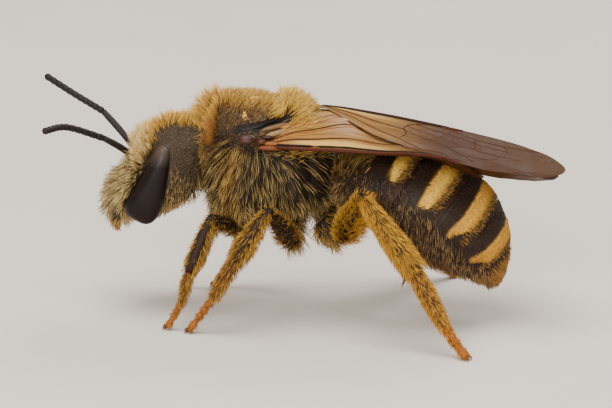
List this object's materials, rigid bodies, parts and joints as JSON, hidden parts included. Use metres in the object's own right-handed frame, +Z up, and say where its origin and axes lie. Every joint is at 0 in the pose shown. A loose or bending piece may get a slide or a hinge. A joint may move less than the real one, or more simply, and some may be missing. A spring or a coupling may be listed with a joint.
{
  "type": "bee",
  "caption": "Female great banded furrow bee standing with its wings folded over a striped abdomen, a life-size still model with a golden coat.",
  "frame": {"origin": "centre of the bounding box in plan, on the floor that the six feet stand on", "axes": "+Z up, the head faces -Y, the bee's left side is +X"},
  "size_m": [0.009, 0.0156, 0.007],
  "materials": {
    "hairy_head": "grey-brown hide under cream and gold hair",
    "eye": "polished dark brown-black",
    "horn": "satin brown-black horn",
    "hairy_thorax": "grey-brown hide under buff and gold hair",
    "shell": "glossy red-brown shell",
    "banded_abdomen": "satin brown-black shell with golden felt bands",
    "hairy_leg": "brown-black to orange horn under golden hair",
    "wing": "smoky amber film with brown veins"
  },
  "bodies": {
    "root": {"head": "hairy_head", "eye_left": "eye", "eye_right": "eye", "antenna_left_scape": "horn", "antenna_left_flagellum": "horn", "antenna_right_scape": "horn", "antenna_right_flagellum": "horn", "mandible_left": "horn", "mandible_right": "horn", "thorax": "hairy_thorax", "propodeum": "hairy_thorax", "tegula_left": "shell", "tegula_right": "shell", "abdomen_1": "banded_abdomen", "abdomen_2": "banded_abdomen", "abdomen_3": "banded_abdomen", "abdomen_4": "banded_abdomen", "abdomen_5": "banded_abdomen", "abdomen_6": "banded_abdomen", "forewing_left": "wing", "forewing_right": "wing", "hindwing_left": "wing", "hindwing_right": "wing", "leg_fore_left_hip": "hairy_leg", "leg_fore_left_femur": "hairy_leg", "leg_fore_left_tibia": "hairy_leg", "leg_fore_left_metatarsus": "hairy_leg", "leg_fore_left_toes": "hairy_leg", "leg_fore_right_hip": "hairy_leg", "leg_fore_right_femur": "hairy_leg", "leg_fore_right_tibia": "hairy_leg", "leg_fore_right_metatarsus": "hairy_leg", "leg_fore_right_toes": "hairy_leg", "leg_mid_left_hip": "hairy_leg", "leg_mid_left_femur": "hairy_leg", "leg_mid_left_tibia": "hairy_leg", "leg_mid_left_metatarsus": "hairy_leg", "leg_mid_left_toes": "hairy_leg", "leg_mid_right_hip": "hairy_leg", "leg_mid_right_femur": "hairy_leg", "leg_mid_right_tibia": "hairy_leg", "leg_mid_right_metatarsus": "hairy_leg", "leg_mid_right_toes": "hairy_leg", "leg_hind_left_hip": "hairy_leg", "leg_hind_left_femur": "hairy_leg", "leg_hind_left_tibia": "hairy_leg", "leg_hind_left_metatarsus": "hairy_leg", "leg_hind_left_toes": "hairy_leg", "leg_hind_right_hip": "hairy_leg", "leg_hind_right_femur": "hairy_leg", "leg_hind_right_tibia": "hairy_leg", "leg_hind_right_metatarsus": "hairy_leg", "leg_hind_right_toes": "hairy_leg"}
  },
  "joints": []
}
